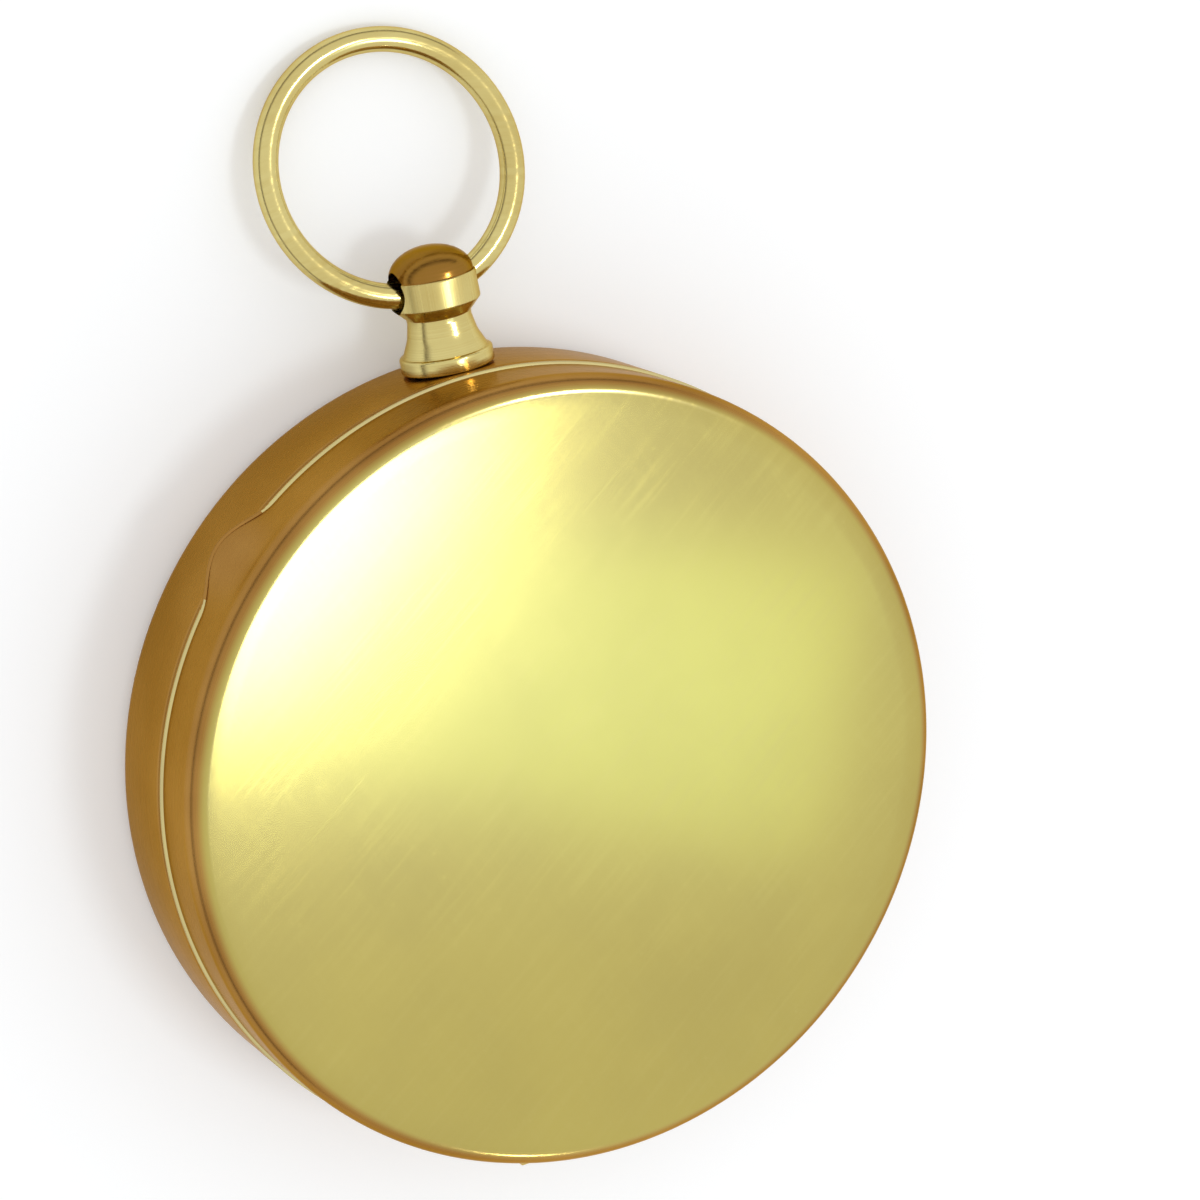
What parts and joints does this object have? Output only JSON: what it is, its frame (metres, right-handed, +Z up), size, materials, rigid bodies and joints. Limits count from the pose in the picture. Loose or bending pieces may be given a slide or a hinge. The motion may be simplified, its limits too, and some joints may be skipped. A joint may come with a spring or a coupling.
{
  "type": "magnetic pocket compass",
  "caption": "Round brass pocket compass with a hinged lid, thumb lip, pendant and ring; under the lid a turning degree bezel and a needle on a pivot over a printed dial.",
  "frame": {"origin": "middle of the flat case back, on which the closed compass lies", "axes": "+Z up through the lid, +Y from the middle of the case towards the pendant and its ring, -Y towards the hinge, +X to the right"},
  "size_m": [0.05, 0.0714, 0.0135],
  "materials": {
    "brass": "polished, finely scratched",
    "plain_brass": "plain turned",
    "clear_capsule": "clear moulded",
    "clear_crystal": "clear polished",
    "clear_bezel": "clear moulded",
    "grey_scale": "satin silver grey, printed in black",
    "printed_dial": "printed",
    "black_needle": "satin black",
    "needle_bearing": "bright turned",
    "pivot_steel": "ground",
    "foam_pad": "matt foam"
  },
  "bodies": {
    "case": {"case_cup": "brass", "case_hinge_knuckle_left": "brass", "case_hinge_knuckle_right": "brass", "hinge_pin": "plain_brass", "pendant": "brass", "pendant_nut": "plain_brass", "mounting_pad": "foam_pad", "capsule_housing": "clear_capsule", "dial_plate": "printed_dial", "crystal": "clear_crystal", "pivot_bush": "plain_brass", "pivot_post": "pivot_steel"},
    "lid": {"lid_shell": "brass", "lid_hinge_knuckle": "brass"},
    "bezel": {"bezel_ring": "clear_bezel", "bezel_scale_ring": "grey_scale"},
    "needle": {"needle_blade": "black_needle", "needle_cap": "needle_bearing", "needle_collar": "black_needle"},
    "bow": {"bow_ring": "brass"}
  },
  "joints": [
    {"name": "lid_hinge", "type": "hinge", "parent": "case", "child": "lid", "pos_m": [0, -0.0247, 0.0078], "axis": [1, 0, 0], "range_deg": [0, 145]},
    {"name": "bezel_turn", "type": "hinge", "parent": "case", "child": "bezel", "pos_m": [0, 0, 0.0087], "axis": [0, 0, 1], "continuous": true},
    {"name": "needle_turn", "type": "hinge", "parent": "case", "child": "needle", "pos_m": [0, 0, 0.00795], "axis": [0, 0, 1], "continuous": true},
    {"name": "bow_swing", "type": "hinge", "parent": "case", "child": "bow", "pos_m": [0, 0.03015, 0.00453], "axis": [1, 0, 0], "range_deg": [-113, 129]}
  ]
}
